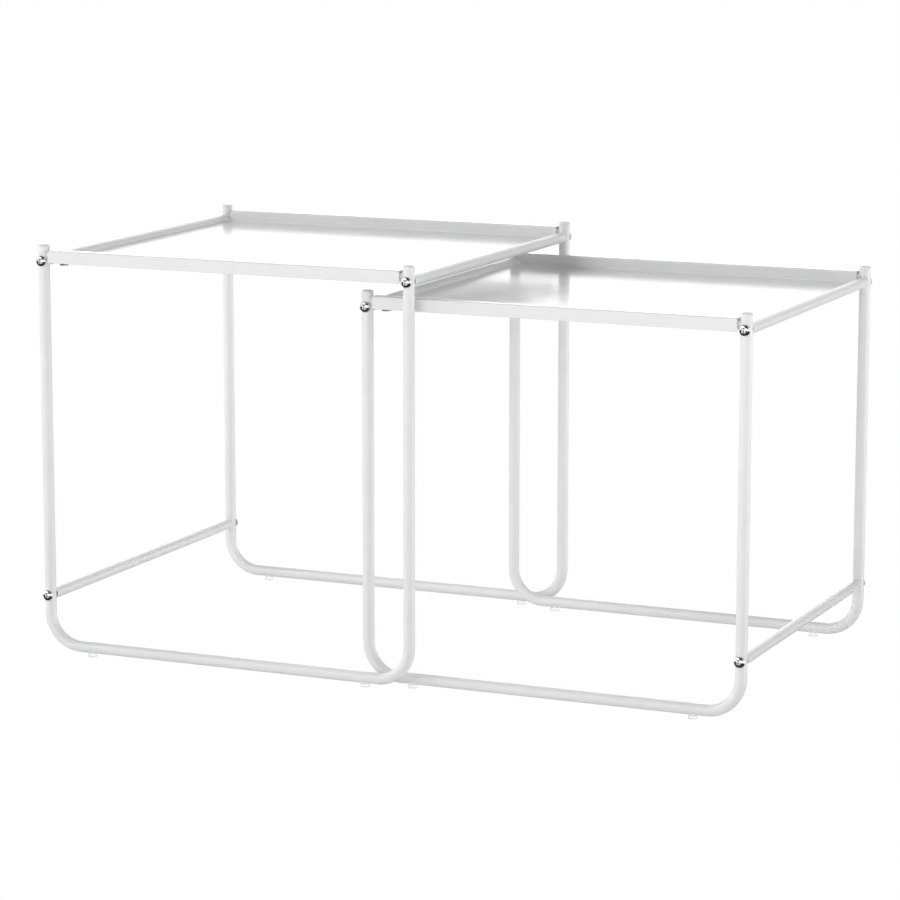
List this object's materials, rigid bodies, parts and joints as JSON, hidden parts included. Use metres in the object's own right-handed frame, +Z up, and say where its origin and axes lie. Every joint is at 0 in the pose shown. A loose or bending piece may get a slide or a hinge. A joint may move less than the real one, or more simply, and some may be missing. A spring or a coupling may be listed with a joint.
{
  "type": "nesting tables",
  "caption": "Nesting tables: a larger and a smaller tray table on bent-tube U frames, the small one sliding out from inside the large one.",
  "frame": {"origin": "on the floor, under the centre of the pair as it stands pulled out", "axes": "+X the way the small table slides out, +Y from the front frames to the rear frames, +Z up"},
  "size_m": [0.8396, 0.466, 0.4696],
  "materials": {
    "white_powder_coat": "white powder coat, satin gloss",
    "tray_powder_coat": "white powder coat, gloss",
    "polished_screw": "polished dark nickel plate",
    "zinc_steel": "bright zinc plate",
    "cap_plastic": "white moulded plastic",
    "glide_plastic": "clear moulded plastic"
  },
  "bodies": {
    "large_table": {"large_front_frame": "white_powder_coat", "large_rear_frame": "white_powder_coat", "large_front_crossbar": "white_powder_coat", "large_rear_crossbar": "white_powder_coat", "large_left_rail": "white_powder_coat", "large_right_rail": "white_powder_coat", "large_left_stretcher": "white_powder_coat", "large_tray": "tray_powder_coat", "large_tray_tabs": "white_powder_coat", "large_tray_nuts": "zinc_steel", "large_leg_caps": "cap_plastic", "large_glides": "glide_plastic", "large_frame_screws": "polished_screw", "large_rail_inserts": "zinc_steel"},
    "small_table": {"small_front_frame": "white_powder_coat", "small_rear_frame": "white_powder_coat", "small_front_crossbar": "white_powder_coat", "small_rear_crossbar": "white_powder_coat", "small_left_rail": "white_powder_coat", "small_right_rail": "white_powder_coat", "small_right_stretcher": "white_powder_coat", "small_tray": "tray_powder_coat", "small_tray_tabs": "white_powder_coat", "small_tray_nuts": "zinc_steel", "small_leg_caps": "cap_plastic", "small_glides": "glide_plastic", "small_frame_screws": "polished_screw", "small_rail_inserts": "zinc_steel"}
  },
  "joints": [
    {"name": "small_table_slide", "type": "slide", "parent": "large_table", "child": "small_table", "axis": [1, 0, 0], "range_m": [-0.379, 0.15]}
  ]
}
